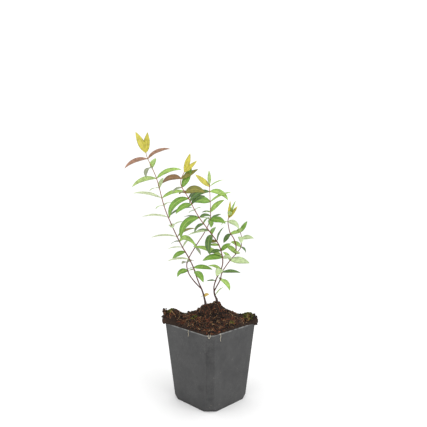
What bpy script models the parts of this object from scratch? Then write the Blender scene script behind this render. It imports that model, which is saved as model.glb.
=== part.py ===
"""Potted hypericum: a young shrub with two wiry stems in a square nursery pot filled with peat.

Metres, +Z up. The origin is the middle of the pot's flat underside, and the pot stands with one chamfered
corner to the front (-Y). Shoots and leaves are worked out from the tables of sizes near the top.
"""

import math

import bmesh
import bpy
import numpy as np
from mathutils import Vector, noise

MM = 0.001
GAP = 0.3 * MM  # clearance between neighbouring pieces
WELD_CURVE = 0.01 * MM
WELD_UNION = 0.0002 * MM

# Pot: a square tub with chamfered corners that widen into sloped facets at the foot
POT_HEIGHT = 100 * MM
POT_HALF_TOP = 45 * MM
POT_HALF_FOOT = 35.7 * MM
POT_WALL = 1.0 * MM
CHAMFER_TOP = 11.0 * MM
CHAMFER_FOOT = 9.9 * MM
FACET_HEIGHT = 5.7 * MM
FACET_INWARD = 3.2 * MM
DRAIN_RADIUS = 4.0 * MM
DRAIN_REACH = 20 * MM

# Peat: heaped in the middle, with a clump on the left corner and a lower one on the right
SOIL_EDGE_HEIGHT = 2.0 * MM
SOIL_LUMP = 1.6 * MM
SOIL_OVERHANG = 4.5 * MM
MOUND = (3 * MM, 3 * MM, 21 * MM, 19 * MM)  # across, deep, height, spread
LEFT_CLUMP = (-50 * MM, 0 * MM, 15 * MM, 10 * MM)
RIGHT_CLUMP = (52 * MM, 2 * MM, 8 * MM, 8 * MM)
PAD_RADIUS = 4 * MM

# Stems: root collar at the soil, then the fork (across, deep, up, mm)
STEM_RADIUS = 1.15 * MM
FLARE = 0.9 * MM
FLARE_LENGTH = 4 * MM
STEM_LEFT = ((-6, -6, 124), (-6.5, -6, 128), (-9, -4, 138), (-11, -4, 144))
STEM_RIGHT = ((8.6, -3, 127.5), (8.2, -3, 131), (6, -3, 136), (5, -3, 141))

# Shoots: points on the middle line from the fork to the tip (across, deep, up, mm)
LEFT = ((-11, -4, 144), (-16, -2, 155), (-22, 0, 172), (-29, 2, 186), (-38, 0, 202), (-49, -3, 226),
        (-59, -6, 252), (-68, -9, 287), (-79, -12, 313), (-81, -13, 320))
REAR = ((-11, -4, 144), (-21, 3, 153), (-29, 12, 163), (-31, 20, 176), (-20, 28, 196), (-6, 33, 218),
        (0, 35, 234), (0, 36, 252), (-1, 36, 281))
MIDDLE = ((5, -3, 141), (5, -4, 148), (8, -6, 158), (14, -10, 171), (16, -15, 184), (11, -22, 204),
          (-1, -27, 222), (-14, -31, 240), (-27, -34, 264), (-35, -36, 278), (-35, -36, 287), (-31, -37, 295))
RIGHT = ((5, -3, 141), (8, -4, 147), (13, -6, 157), (16, -2, 167), (26, 6, 180), (34, 11, 188), (41, 15, 197),
         (42, 17, 209), (40, 18, 217))
INNER = ((34, 11, 188), (34, 8, 199), (31, 6, 209), (26, 3, 217), (24, 0, 225), (23, -2, 233), (25, -4, 241))
BOUGH_RADIUS = 0.85 * MM
TIP_RADIUS = 0.45 * MM

# How a leaf leaves the shoot: degrees off the shoot's direction, then degrees that it bends down
UP = (10, 2)
SPREAD = (22, -4)
RISE = (45, 5)
OPEN = (55, -10)
STEEP = (32, 40)
FLAT = (48, 38)
ARCH = (60, 60)
CURL = (75, 85)
HANG = (55, 105)
LOW = (97, 40)
DROOP = (95, 75)

# Leaf pairs: distance up the shoot (mm), then for each leaf its azimuth (0 right, 90 front, 180 left),
# habit, length and breadth (mm), and how far the upper face is turned to the front (degrees, 0 as it grows)
LEFT_LEAVES = (
    (25, (62, DROOP, 26, 9.5, 0)),
    (30, (160, ARCH, 10, 5, 0), (8, LOW, 26, 7, 50)),
    (42, (180, FLAT, 30, 7, -34)),
    (53, (180, ARCH, 21, 7, 55)),
    (60, (0, FLAT, 16, 5, 25), (180, FLAT, 20, 5, -25)),
    (69, (45, HANG, 40, 8.5, 40), (215, ARCH, 16, 5, 0)),
    (76, (0, ARCH, 28, 6, 30), (180, FLAT, 35, 6, -32)),
    (91, (80, ARCH, 16, 7, 0), (260, ARCH, 16, 7, 0), (0, ARCH, 17, 4, 20)),
    (104, (0, ARCH, 36, 6, 28), (180, FLAT, 35, 6, -28)),
    (120, (130, ARCH, 16, 7, 0), (310, ARCH, 16, 7, 0)),
    (130, (0, ARCH, 35, 7, 45), (180, FLAT, 39, 7, -36)),
    (143, (130, ARCH, 19, 7, 0), (300, STEEP, 20, 7, 0)),
    (156, (0, ARCH, 36, 8, 48), (180, ARCH, 35, 8, -46)),
    (170, (112, HANG, 27, 9, 0), (292, FLAT, 26, 9, 0)),
    (183, (5, ARCH, 34, 8, -28), (180, ARCH, 34, 8, -36)),
    (191, (0, SPREAD, 26, 10, 62), (180, UP, 29, 9.5, 66)),
)
REAR_LEAVES = (
    (33, (160, HANG, 19, 8.5, 45), (340, ARCH, 12, 6, 0)),
    (46, (60, ARCH, 16, 7, 0), (240, ARCH, 16, 7, 0)),
    (70, (0, LOW, 14, 6, 30), (130, ARCH, 20, 7, 0)),
    (112, (30, ARCH, 26, 9.5, 60), (330, STEEP, 20, 6, 30), (80, LOW, 22, 8, 0), (225, ARCH, 20, 8, 0)),
    (123, (345, STEEP, 27, 7.5, 62), (180, ARCH, 13, 4, 30), (120, ARCH, 14, 6, 0)),
    (137, (0, FLAT, 33, 6, 32), (165, ARCH, 26, 10, 70)),
    (151, (350, CURL, 31, 8.5, 62), (180, CURL, 36, 9, 50)),
    (158, (180, RISE, 26, 8, 66), (0, FLAT, 23, 5, 20)),
    (161, (90, UP, 20, 5, 0), (270, UP, 20, 5, 0)),
)
MIDDLE_LEAVES = (
    (15, (190, LOW, 13, 4, 20)),
    (33, (105, ARCH, 24, 9.5, 0), (180, ARCH, 19, 5, 30)),
    (50, (178, ARCH, 27, 8, 62), (20, ARCH, 14, 7, 40)),
    (53, (195, FLAT, 40, 7.5, 45)),
    (60, (180, ARCH, 16, 5.5, 45), (350, FLAT, 16, 7, 50)),
    (68, (180, FLAT, 13, 5, 40)),
    (74, (180, FLAT, 13, 6, 40), (10, STEEP, 24, 5, 25)),
    (85, (125, CURL, 32, 9.5, 60), (305, ARCH, 20, 8, 0)),
    (91, (180, FLAT, 28, 5, 30), (215, FLAT, 18, 6, 20)),
    (103, (150, ARCH, 18, 7, 30), (330, ARCH, 14, 6, 0)),
    (112, (178, HANG, 40, 9.5, 68), (350, CURL, 16, 6, 35), (215, FLAT, 24, 5, 0)),
    (123, (200, ARCH, 10, 5, 0), (20, ARCH, 10, 5, 0)),
    (131, (150, ARCH, 26, 9, 50), (330, ARCH, 24, 8, 45)),
    (139, (180, HANG, 39, 9, 64), (330, ARCH, 26, 8, 30)),
    (147, (15, CURL, 28, 10, 66), (250, ARCH, 22, 8, 0)),
    (155, (350, OPEN, 30, 10, 62), (160, ARCH, 15, 6, 30)),
    (166, (180, CURL, 26, 8, 64), (0, RISE, 24, 7.5, 55)),
    (175, (200, UP, 24, 7.5, 60), (0, SPREAD, 21, 6.5, 55)),
)
RIGHT_LEAVES = (
    (18, (355, CURL, 21, 6.5, 60), (265, ARCH, 12, 5, 0)),
    (28, (0, FLAT, 25, 5, 55), (150, ARCH, 16, 7, 30)),
    (48, (15, FLAT, 27, 9.5, 66), (150, ARCH, 16, 7, 40)),
    (60, (175, ARCH, 19, 7.5, 60), (100, ARCH, 14, 7, 0)),
    (72, (0, CURL, 11, 4.5, 35), (170, ARCH, 16, 7, 50)),
    (83, (5, ARCH, 17, 7, 50), (95, HANG, 26, 9, 0)),
    (92, (0, RISE, 18, 7, 50), (180, ARCH, 16, 7, 40), (90, FLAT, 14, 7, 0), (270, FLAT, 14, 7, 0)),
)
INNER_LEAVES = (
    (30, (185, LOW, 17, 7, 55)),
    (48, (180, CURL, 11, 3.5, 20), (25, CURL, 19, 8, 50)),
    (53, (180, UP, 24, 5.5, 45), (0, SPREAD, 20, 5.5, 50)),
    (56, (300, UP, 22, 5, 0), (100, STEEP, 16, 6, 0)),
)

LEAF_RINGS = 3
LEAF_THICKNESS = 0.016  # of its length
PETIOLE = 0.8 * MM

COLOURS = {
    "pot": (0.045, 0.048, 0.050),
    "peat": (0.035, 0.020, 0.012),
    "bark": (0.060, 0.025, 0.018),
    "leaf_tip": (0.42, 0.42, 0.08),
    "leaf_pale": (0.36, 0.46, 0.20),
    "leaf_green": (0.14, 0.28, 0.04),
}


def clear_scene():
    for thing in list(bpy.data.objects):
        bpy.data.objects.remove(thing)


def make_collection(name):
    group = bpy.data.collections.new(name)
    bpy.context.scene.collection.children.link(group)
    return group


def make_material(name, colour, roughness):
    material = bpy.data.materials.new(name)
    material.use_nodes = True
    shader = material.node_tree.nodes["Principled BSDF"]
    shader.inputs["Base Color"].default_value = (*colour, 1)
    shader.inputs["Roughness"].default_value = roughness
    shader.inputs["Metallic"].default_value = 0
    return material


def finish(thing, colour, roughness):
    thing.data.materials.clear()
    thing.data.materials.append(make_material(thing.name, COLOURS[colour], roughness))


def loft(name, rings, group, tip=None, cap_end=True):
    """Joins rings of equally many points into a skin, capped at the start and at the end or at a tip point."""
    mesh = bpy.data.meshes.new(name)
    bm = bmesh.new()
    rows = [[bm.verts.new(point) for point in ring] for ring in rings]
    count = len(rows[0])
    for lower, upper in zip(rows, rows[1:]):
        for i in range(count):
            j = (i + 1) % count
            bm.faces.new((lower[i], lower[j], upper[j], upper[i]))
    bm.faces.new(rows[0][::-1])
    if tip is not None:
        point = bm.verts.new(tip)
        for i in range(count):
            bm.faces.new((rows[-1][i], rows[-1][(i + 1) % count], point))
    elif cap_end:
        bm.faces.new(rows[-1])
    bmesh.ops.recalc_face_normals(bm, faces=bm.faces)
    bm.to_mesh(mesh)
    bm.free()
    thing = bpy.data.objects.new(name, mesh)
    group.objects.link(thing)
    return thing


def evaluated_copy(thing, name, group, weld):
    """Makes a plain mesh object of what the modifiers or the curve give, and removes the first object."""
    bpy.context.view_layer.update()
    graph = bpy.context.evaluated_depsgraph_get()
    mesh = bpy.data.meshes.new_from_object(thing.evaluated_get(graph))
    bm = bmesh.new()
    bm.from_mesh(mesh)
    bmesh.ops.remove_doubles(bm, verts=bm.verts, dist=weld)
    bm.to_mesh(mesh)
    bm.free()
    copy = bpy.data.objects.new(name, mesh)
    copy.matrix_world = thing.matrix_world
    bpy.data.objects.remove(thing)
    group.objects.link(copy)
    return copy


def smooth_line(points_mm, steps=5):
    """Catmull-Rom line through the points, in metres."""
    points = [np.array(p, float) * MM for p in points_mm]
    points = [2 * points[0] - points[1]] + points + [2 * points[-1] - points[-2]]
    line = []
    for a, b, c, d in zip(points, points[1:], points[2:], points[3:]):
        for k in range(steps):
            t = k / steps
            line.append(0.5 * (2 * b + (c - a) * t + (2 * a - 5 * b + 4 * c - d) * t**2
                               + (3 * b - a - 3 * c + d) * t**3))
    line.append(points[-2])
    return np.array(line)


def distances(line):
    return np.concatenate([[0], np.cumsum(np.linalg.norm(np.diff(line, axis=0), axis=1))])


def point_at(line, distance):
    """The point and direction at a distance along a line."""
    marks = distances(line)
    distance = min(max(distance, 0), marks[-1])
    i = min(int(np.searchsorted(marks, distance, side="right")) - 1, len(line) - 2)
    t = (distance - marks[i]) / (marks[i + 1] - marks[i])
    direction = (line[i + 1] - line[i]) / (marks[i + 1] - marks[i])
    return line[i] * (1 - t) + line[i + 1] * t, direction


def stretch(line, start, end):
    """The part of a line between two distances."""
    marks = distances(line)
    inner = [p for p, mark in zip(line, marks) if start + 1 * MM < mark < end - 1 * MM]
    return [point_at(line, start)[0], *inner, point_at(line, end)[0]]


def limb(name, line, start, end, radius_of, group, sides=6):
    """A tapering tube along part of a line, its radius given by the distance from the line's start."""
    points = stretch(line, start, end)
    curve = bpy.data.curves.new(name, "CURVE")
    curve.dimensions = "3D"
    curve.bevel_depth = 1 * MM
    curve.bevel_resolution = (sides - 4) // 2
    curve.use_fill_caps = True
    spline = curve.splines.new("POLY")
    spline.points.add(len(points) - 1)
    marks = distances(np.array(points)) + start
    for handle, point, mark in zip(spline.points, points, marks):
        handle.co = (*point, 1)
        handle.radius = radius_of(mark) / MM
    thing = bpy.data.objects.new(name + "_curve", curve)
    group.objects.link(thing)
    return evaluated_copy(thing, name, group, WELD_CURVE)


def shoot_radius(line):
    """Radius along a shoot, tapering from the bough's thickness to the tip's."""
    whole = distances(line)[-1]
    return lambda mark: BOUGH_RADIUS + (TIP_RADIUS - BOUGH_RADIUS) * mark / whole


def clear_start(line, radius, others):
    """The distance at which a limb's first ring is clear of the other limbs."""
    for step in range(1, 60):
        mark = step * 0.25 * MM
        point, direction = point_at(line, mark)
        far = True
        for other, other_radius in others:
            for k in range(len(other) - 1):
                away = other[k + 1] - other[k]
                t = min(max(np.dot(point - other[k], away) / np.dot(away, away), 0), 1)
                offset = point - (other[k] + away * t)
                along = np.dot(offset, direction)
                across = np.linalg.norm(offset - direction * along)
                reach = math.hypot(max(across - radius, 0), along)
                far = far and reach > other_radius + 1.2 * GAP
        if far:
            return mark
    return mark


def unit(vector):
    return vector / np.linalg.norm(vector)


def leaf_frames(base, shoot, azimuth, habit, length, tilt):
    """Points on the midrib with the leaf's direction, sideways and upper-face vectors at each."""
    spread, droop = (math.radians(angle) for angle in habit)
    a = math.radians(azimuth)
    outward = np.array([math.cos(a), -math.sin(a), 0])
    outward = unit(outward - shoot * np.dot(outward, shoot))
    ahead = shoot * math.cos(spread) + outward * math.sin(spread)
    up = np.array([0, 0, 1.0])
    face = unit(shoot - ahead * np.dot(shoot, ahead) + 0.35 * (up - ahead * np.dot(up, ahead)))
    beside = face
    steps = LEAF_RINGS + 1
    bend = droop / steps
    point = np.array(base)
    frames = []
    for k in range(steps + 1):
        upper = face
        if tilt:
            front = unit(ahead * ahead[1] - np.array([0, 1.0, 0]))
            across = np.cross(front, ahead)
            beside = across if np.dot(across, beside) > 0 else -across
            upper = front * math.sin(math.radians(tilt)) + beside * math.cos(math.radians(tilt))
        frames.append((point.copy(), ahead, np.cross(ahead, upper), upper))
        following = ahead * math.cos(bend) - face * math.sin(bend)
        face = face * math.cos(bend) + ahead * math.sin(bend)
        point = point + unit(ahead + following) * length / steps
        ahead = following
    return frames


def leaf_width(t, breadth):
    """Half the breadth at a share of the leaf's length: lance-shaped, widest before the middle."""
    return max(0.5 * breadth * math.sin(math.pi * t**0.82) ** 0.85, 0.5 * PETIOLE)


def add_leaf(name, line, mark, azimuth, habit, length, breadth, tilt, group):
    """A thin closed blade whose root starts on the shoot's middle line."""
    base, shoot = point_at(line, mark)
    frames = leaf_frames(base, shoot, azimuth, habit, length, tilt)
    half = 0.5 * LEAF_THICKNESS * length
    rings = []
    for k, (point, _, side, face) in enumerate(frames[:-1]):
        wide = leaf_width(k / len(frames[:-1]), breadth)
        thick = half * (1 if k else 0.7)
        rings.append([point + side * wide, point + face * thick, point - side * wide, point - face * thick])
    return loft(name, rings, group, tip=frames[-1][0])


def foliage(name, line, leaves, start, end, colour, group):
    """One mass: a stretch of the shoot with the leaves that stand on it fused on."""
    stem = limb(name + "_stem", line, start, end, shoot_radius(line), group)
    blades = make_collection(name + "_blades")
    for distance, *row in leaves:
        mark = distance * MM
        if not start < mark <= end:
            continue
        for number, (azimuth, habit, length, breadth, tilt) in enumerate(row):
            blade = f"{name}_leaf_{distance}_{number}"
            add_leaf(blade, line, mark, azimuth, habit, length * MM, breadth * MM, tilt, blades)
    union = stem.modifiers.new("join", "BOOLEAN")
    union.operation = "UNION"
    union.operand_type = "COLLECTION"
    union.collection = blades
    union.solver = "MANIFOLD"
    mass = evaluated_copy(stem, name, group, WELD_UNION)
    for blade in list(blades.objects):
        bpy.data.objects.remove(blade)
    bpy.data.collections.remove(blades)
    finish(mass, colour, 0.55)
    return mass


def pot_sections():
    """Height, half side and chamfer width of the pot's outside at each level."""
    at_facet = FACET_HEIGHT / POT_HEIGHT
    half_facet = POT_HALF_FOOT + (POT_HALF_TOP - POT_HALF_FOOT) * at_facet
    chamfer_facet = CHAMFER_FOOT + (CHAMFER_TOP - CHAMFER_FOOT) * at_facet
    return ((0, POT_HALF_FOOT, CHAMFER_FOOT + 2 * FACET_INWARD),
            (FACET_HEIGHT, half_facet, chamfer_facet),
            (POT_HEIGHT, POT_HALF_TOP, CHAMFER_TOP))


def section(half, chamfer, inset=0.0, along=1, across=1):
    """Points round a chamfered square, a corner to the front, with each side divided into equal parts."""
    cut = chamfer / math.sqrt(2) - (2 - math.sqrt(2)) * inset
    half = half - inset
    corners = []
    for quarter in range(4):
        turn = math.radians(90 * quarter + 45)
        for x, y in ((half, half - cut), (half - cut, half)):
            corners.append((x * math.cos(turn) - y * math.sin(turn), x * math.sin(turn) + y * math.cos(turn)))
    points = []
    for k, corner in enumerate(corners):
        following = corners[(k + 1) % 8]
        parts = across if k % 2 == 0 else along
        for step in range(parts):
            t = step / parts
            points.append((corner[0] + (following[0] - corner[0]) * t, corner[1] + (following[1] - corner[1]) * t))
    return points


def make_pot(group, cutters):
    """Outer skin lofted through the sections, thickened inward, with drain holes in the floor."""
    rings = [[(x, y, z) for x, y in section(half, chamfer)] for z, half, chamfer in pot_sections()]
    pot = loft("pot", rings, group, cap_end=False)
    wall = pot.modifiers.new("wall", "SOLIDIFY")
    wall.thickness = POT_WALL
    wall.offset = -1
    wall.use_even_offset = True
    for quarter in range(4):
        turn = math.radians(90 * quarter + 45)
        bpy.ops.mesh.primitive_cylinder_add(vertices=16, radius=DRAIN_RADIUS, depth=6 * MM,
                                            location=(DRAIN_REACH * math.cos(turn), DRAIN_REACH * math.sin(turn), 0))
        cutter = bpy.context.object
        cutter.name = f"drain_{quarter + 1}"
        cutter.hide_render = True
        cutter.display_type = "WIRE"
        for owner in list(cutter.users_collection):
            owner.objects.unlink(cutter)
        cutters.objects.link(cutter)
        hole = pot.modifiers.new(cutter.name, "BOOLEAN")
        hole.operation = "DIFFERENCE"
        hole.object = cutter
    finish(pot, "pot", 0.5)
    return pot


def heap(x, y, lump):
    """Height that one lump of peat adds."""
    across, deep, height, spread = lump
    return height * math.exp(-((x - across) ** 2 + (y - deep) ** 2) / (2 * spread**2))


def soil_height(x, y):
    """Height of the peat's top, flattened to a pad where each stem stands."""
    height = POT_HEIGHT + SOIL_EDGE_HEIGHT
    height += heap(x, y, MOUND) + heap(x, y, LEFT_CLUMP) + heap(x, y, RIGHT_CLUMP)
    height += SOIL_LUMP * noise.noise(Vector((x, y, 0)) / (7 * MM))
    for foot in (STEM_LEFT[0], STEM_RIGHT[0]):
        far = math.hypot(x - foot[0] * MM, y - foot[1] * MM)
        share = min(max((far - PAD_RADIUS) / PAD_RADIUS, 0), 1)
        height = height * share + (foot[2] * MM - GAP) * (1 - share)
    return height


def make_soil(group):
    """The root ball inside the pot, lofted up through the rim into the heaped top."""
    parts = {"along": 8, "across": 2}
    floor, facet, rim = pot_sections()
    inset = POT_WALL + GAP
    share = inset / POT_HEIGHT
    foot_half = floor[1] + (rim[1] - floor[1]) * share
    rings = [
        [(x, y, inset) for x, y in section(foot_half, floor[2] + 1.5 * MM, inset, **parts)],
        [(x, y, facet[0] + 1.5 * MM) for x, y in section(facet[1], facet[2] + 0.5 * MM, inset, **parts)],
        [(x, y, rim[0] + GAP) for x, y in section(rim[1], rim[2], inset + 0.1 * MM, **parts)],
    ]
    lip = []
    for x, y in section(rim[1], rim[2], 0.4 * MM, **parts):
        reach = math.hypot(x, y)
        out = SOIL_OVERHANG * max(0, (abs(x) / reach - 0.94) / 0.06)
        lip.append((x * (1 + out / reach), y * (1 + out / reach)))
    rings.append([(x, y, rim[0] + GAP) for x, y in lip])
    for scale in (1.0, 0.93, 0.84, 0.73, 0.61, 0.49, 0.37, 0.25, 0.13):
        low = 0.45 if scale == 1.0 else 1.0
        ring = []
        for x, y in lip:
            top = soil_height(x * scale, y * scale)
            ring.append((x * scale, y * scale, rim[0] + GAP + (top - rim[0] - GAP) * low))
        rings.append(ring)
    soil = loft("soil", rings, group, tip=(0, 0, soil_height(0, 0)))
    finish(soil, "peat", 0.95)
    return soil


def make_stem(name, points, group):
    """A stem with a root flare, cut flat at the soil."""
    line = smooth_line(points)
    whole = distances(line)[-1]
    stem = limb(name, line, 0, whole,
                lambda mark: STEM_RADIUS * (1 - 0.12 * mark / whole) + FLARE * math.exp(-mark / FLARE_LENGTH),
                group, sides=8)
    finish(stem, "bark", 0.7)
    return line


def make_bough(name, line, start, end, group):
    bough = limb(name, line, start, end * MM, shoot_radius(line), group)
    finish(bough, "bark", 0.6)


def make_shoot(line, leaves, cuts, names, colours, group):
    """The masses along a shoot, each starting a gap above the one below."""
    for name, colour, low, high in zip(names, colours, cuts, cuts[1:]):
        foliage(name, line, leaves, low * MM + GAP, high * MM, colour, group)


def main():
    clear_scene()
    parts = make_collection("potted_hypericum")
    cutters = make_collection("cutters")
    make_pot(parts, cutters)
    make_soil(parts)
    stem_left = make_stem("stem_left", STEM_LEFT, parts)
    stem_right = make_stem("stem_right", STEM_RIGHT, parts)

    left, rear, middle, right, inner = (smooth_line(points) for points in (LEFT, REAR, MIDDLE, RIGHT, INNER))
    trunk = STEM_RADIUS
    make_bough("bough_left", left, clear_start(left, BOUGH_RADIUS, [(stem_left, 0)]), 22, parts)
    rear_start = clear_start(rear, BOUGH_RADIUS, [(stem_left, trunk), (left, BOUGH_RADIUS)])
    make_bough("bough_rear", rear, rear_start, 30, parts)
    make_bough("bough_middle", middle, clear_start(middle, BOUGH_RADIUS, [(stem_right, 0)]), 12, parts)
    right_start = clear_start(right, BOUGH_RADIUS, [(stem_right, trunk), (middle, BOUGH_RADIUS)])
    make_bough("bough_right", right, right_start, 16, parts)

    make_shoot(left, LEFT_LEAVES, (22, 80, 125, 192), ("foliage_left_low", "foliage_left_middle", "foliage_left_top"),
               ("leaf_green", "leaf_pale", "leaf_tip"), parts)
    make_shoot(rear, REAR_LEAVES, (30, 90, 170), ("foliage_rear_low", "foliage_rear_top"),
               ("leaf_green", "leaf_green"), parts)
    make_shoot(middle, MIDDLE_LEAVES, (12, 80, 127, 176),
               ("foliage_middle_low", "foliage_middle_high", "foliage_middle_top"),
               ("leaf_green", "leaf_green", "leaf_tip"), parts)
    make_shoot(right, RIGHT_LEAVES, (16, 55, 94), ("foliage_right_low", "foliage_right_top"),
               ("leaf_pale", "leaf_pale"), parts)
    inner_start = clear_start(inner, BOUGH_RADIUS, [(right, BOUGH_RADIUS)])
    foliage("foliage_inner", inner, INNER_LEAVES, inner_start, distances(inner)[-1], "leaf_tip", parts)


main()
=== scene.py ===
"""Potted hypericum: a young shrub with two wiry stems in a square nursery pot heaped with peat.

Metres, +Z up. The origin is the middle of the pot's flat underside, and one chamfered corner points to
the front. Tables of points and sizes are in millimetres where they don't say metres.
"""

import math
import random

import bmesh
import bpy
import numpy as np
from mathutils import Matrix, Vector, noise


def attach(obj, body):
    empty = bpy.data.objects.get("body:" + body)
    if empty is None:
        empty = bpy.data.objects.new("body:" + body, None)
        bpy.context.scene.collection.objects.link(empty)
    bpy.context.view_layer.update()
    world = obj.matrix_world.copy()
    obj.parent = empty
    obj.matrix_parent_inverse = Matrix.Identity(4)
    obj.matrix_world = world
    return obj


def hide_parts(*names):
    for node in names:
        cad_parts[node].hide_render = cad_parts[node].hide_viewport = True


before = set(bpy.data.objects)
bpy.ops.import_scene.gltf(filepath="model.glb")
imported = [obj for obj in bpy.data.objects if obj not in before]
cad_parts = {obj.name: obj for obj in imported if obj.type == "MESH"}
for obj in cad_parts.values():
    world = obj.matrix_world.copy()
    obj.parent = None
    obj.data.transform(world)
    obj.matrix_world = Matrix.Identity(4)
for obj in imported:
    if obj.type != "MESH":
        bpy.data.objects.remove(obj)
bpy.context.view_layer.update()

# The view. A small pale studio: a wide matt floor under an even white sky, with one large soft lamp
# to the right of the lens and a weaker one to the left, and the lens level with the upper leaves.
LENS_LENGTH = 39.25
FILM_WIDTH = 36
EYE = (0.0019, -0.603, 0.275)
LOOK_DOWN = 0.054
TURN_RIGHT = 0.004
LAMPS = (  # place, width and watts
    ("lamp_right", (1.1, -0.9, 1.2), 0.9, 8),
    ("lamp_left", (-1.1, -0.9, 1.0), 1.1, 3),
)
LAMPS_LOOK_AT = (0, 0, 0.15)
SKY_STRENGTH = 1.14

lens = bpy.data.cameras.new("studio_lens")
lens.sensor_width = FILM_WIDTH
lens.lens = LENS_LENGTH
studio_camera = bpy.data.objects.new("studio_camera", lens)
studio_camera.location = EYE
studio_camera.rotation_euler = (math.pi / 2 - LOOK_DOWN, 0, -TURN_RIGHT)
bpy.context.scene.collection.objects.link(studio_camera)
bpy.context.scene.camera = studio_camera


def soft_lamp(name, place, size, watts):
    """A large square lamp that faces the middle of the shrub."""
    glow = bpy.data.lights.new(name, "AREA")
    glow.shape = "SQUARE"
    glow.size = size
    glow.energy = watts
    holder = bpy.data.objects.new(name, glow)
    holder.location = place
    holder.rotation_euler = (Vector(LAMPS_LOOK_AT) - Vector(place)).to_track_quat("-Z", "Y").to_euler()
    bpy.context.scene.collection.objects.link(holder)


for lamp in LAMPS:
    soft_lamp(*lamp)

sky = bpy.data.worlds.new("pale_sky")
sky.use_nodes = True
sky.node_tree.nodes["Background"].inputs["Color"].default_value = (1, 1, 1, 1)
sky.node_tree.nodes["Background"].inputs["Strength"].default_value = SKY_STRENGTH
bpy.context.scene.world = sky
bpy.context.scene.view_settings.view_transform = "Standard"


def start_finish(name, roughness, gloss):
    """An empty finish: its node tree, its shader and the places on the object."""
    finish = bpy.data.materials.new(name)
    finish.use_nodes = True
    tree = finish.node_tree
    shader = tree.nodes["Principled BSDF"]
    shader.inputs["Roughness"].default_value = roughness
    shader.inputs["Specular IOR Level"].default_value = gloss
    places = tree.nodes.new("ShaderNodeTexCoord")
    return finish, tree, shader, places


def mottle(tree, places, scale, detail=4.0, rough=0.55):
    """Cloudy variation over the surface, with so many clouds to a metre."""
    clouds = tree.nodes.new("ShaderNodeTexNoise")
    clouds.inputs["Scale"].default_value = scale
    clouds.inputs["Detail"].default_value = detail
    clouds.inputs["Roughness"].default_value = rough
    tree.links.new(places.outputs["Object"], clouds.inputs["Vector"])
    return clouds.outputs["Fac"]


def blend_colours(tree, share, first, second):
    """The first colour where the share is 0, the second where it is 1."""
    node = tree.nodes.new("ShaderNodeMix")
    node.data_type = "RGBA"
    tree.links.new(share, node.inputs["Factor"])
    for socket, value in ((node.inputs[6], first), (node.inputs[7], second)):
        if isinstance(value, tuple):
            socket.default_value = value
        else:
            tree.links.new(value, socket)
    return node.outputs[2]


FLOOR_REACH = 6.0
FLOOR_LEVEL = -0.0002
FLOOR_PALE = (0.90, 0.90, 0.90, 1)
FLOOR_PALEST = (0.93, 0.93, 0.93, 1)
floor_finish, tree, shader, places = start_finish("pale_floor", 0.9, 0.1)
shade = blend_colours(tree, mottle(tree, places, 3.0), FLOOR_PALE, FLOOR_PALEST)
tree.links.new(shade, shader.inputs["Base Color"])
floor_corners = [(x * FLOOR_REACH, y * FLOOR_REACH, FLOOR_LEVEL)
                 for x, y in ((-1, -1), (1, -1), (1, 1), (-1, 1))]
floor_mesh = bpy.data.meshes.new("floor")
floor_mesh.from_pydata(floor_corners, [], [(0, 1, 2, 3)])
floor_mesh.materials.append(floor_finish)
floor = bpy.data.objects.new("floor", floor_mesh)
bpy.context.scene.collection.objects.link(floor)

# The pot. A square tub of thin dark grey plastic, moulded in one, with chamfered corners that widen
# into sloped facets at the foot. It is dusty and water-stained, with a pale highlight painted in patches
# along the rim.
MM = 0.001
POT_HEIGHT = 100 * MM
POT_HALF_TOP = 45 * MM
POT_HALF_FOOT = 35.7 * MM
POT_WALL = 1.0 * MM
CHAMFER_TOP = 11.0 * MM
CHAMFER_FOOT = 9.9 * MM
FACET_HEIGHT = 5.7 * MM
FACET_INWARD = 3.2 * MM
PLASTIC_DARK = (38, 38, 39)
PLASTIC_PALE = (68, 68, 68)
DUST = (92, 91, 89)
DRIED_WATER = (28, 28, 28)
CRUST = (150, 140, 125)
# The pale colour of the highlight painted along the rim's top edge
RIM_HIGHLIGHT = (150, 150, 148)
WATER_STAINS = (  # where on the pot and how wide, in metres
    ((-0.0185, -0.049, 0.028), 0.011),
    ((0.016, -0.050, 0.012), 0.009),
    ((0.008, -0.053, 0.010), 0.006),
)
STAIN_EDGE = (0.004, 0.0062)
STAIN_RAGGED = 0.012
STAIN_STRENGTH = 0.45
# Heights of the band of painted highlight along the rim, and how strongly it is painted
RIM_HIGHLIGHT_HEIGHTS = (0.0985, 0.0996)
RIM_HIGHLIGHT_STRENGTH = 0.75
CRUSTS_TO_A_METRE = 260


def linear(red, green, blue):
    """A colour given in everyday 0 to 255 values, as the shader wants it."""
    out = []
    for value in (red, green, blue):
        share = value / 255
        out.append(share / 12.92 if share <= 0.04045 else ((share + 0.055) / 1.055) ** 2.4)
    return (*out, 1)


def between(tree, value, low, high, at_low=0.0, at_high=1.0):
    """Stretches a value so that low and high become the two ends."""
    node = tree.nodes.new("ShaderNodeMapRange")
    node.inputs["From Min"].default_value = low
    node.inputs["From Max"].default_value = high
    node.inputs["To Min"].default_value = at_low
    node.inputs["To Max"].default_value = at_high
    tree.links.new(value, node.inputs["Value"])
    return node.outputs["Result"]


def reckon(tree, what, first, second=0):
    """One step of arithmetic on one or two values, each a number or another node's result."""
    node = tree.nodes.new("ShaderNodeMath")
    node.operation = what
    for socket, value in zip(node.inputs, (first, second)):
        if isinstance(value, (int, float)):
            socket.default_value = value
        else:
            tree.links.new(value, socket)
    return node.outputs["Value"]


def split(tree, source):
    """The X, Y and Z of a place, each by itself."""
    node = tree.nodes.new("ShaderNodeSeparateXYZ")
    tree.links.new(source, node.inputs["Vector"])
    return node.outputs


def relief(tree, shader, height, depth, strength=1.0):
    """Fine relief of the surface, so many metres deep."""
    bump = tree.nodes.new("ShaderNodeBump")
    bump.inputs["Distance"].default_value = depth
    bump.inputs["Strength"].default_value = strength
    tree.links.new(height, bump.inputs["Height"])
    tree.links.new(bump.outputs["Normal"], shader.inputs["Normal"])


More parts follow.
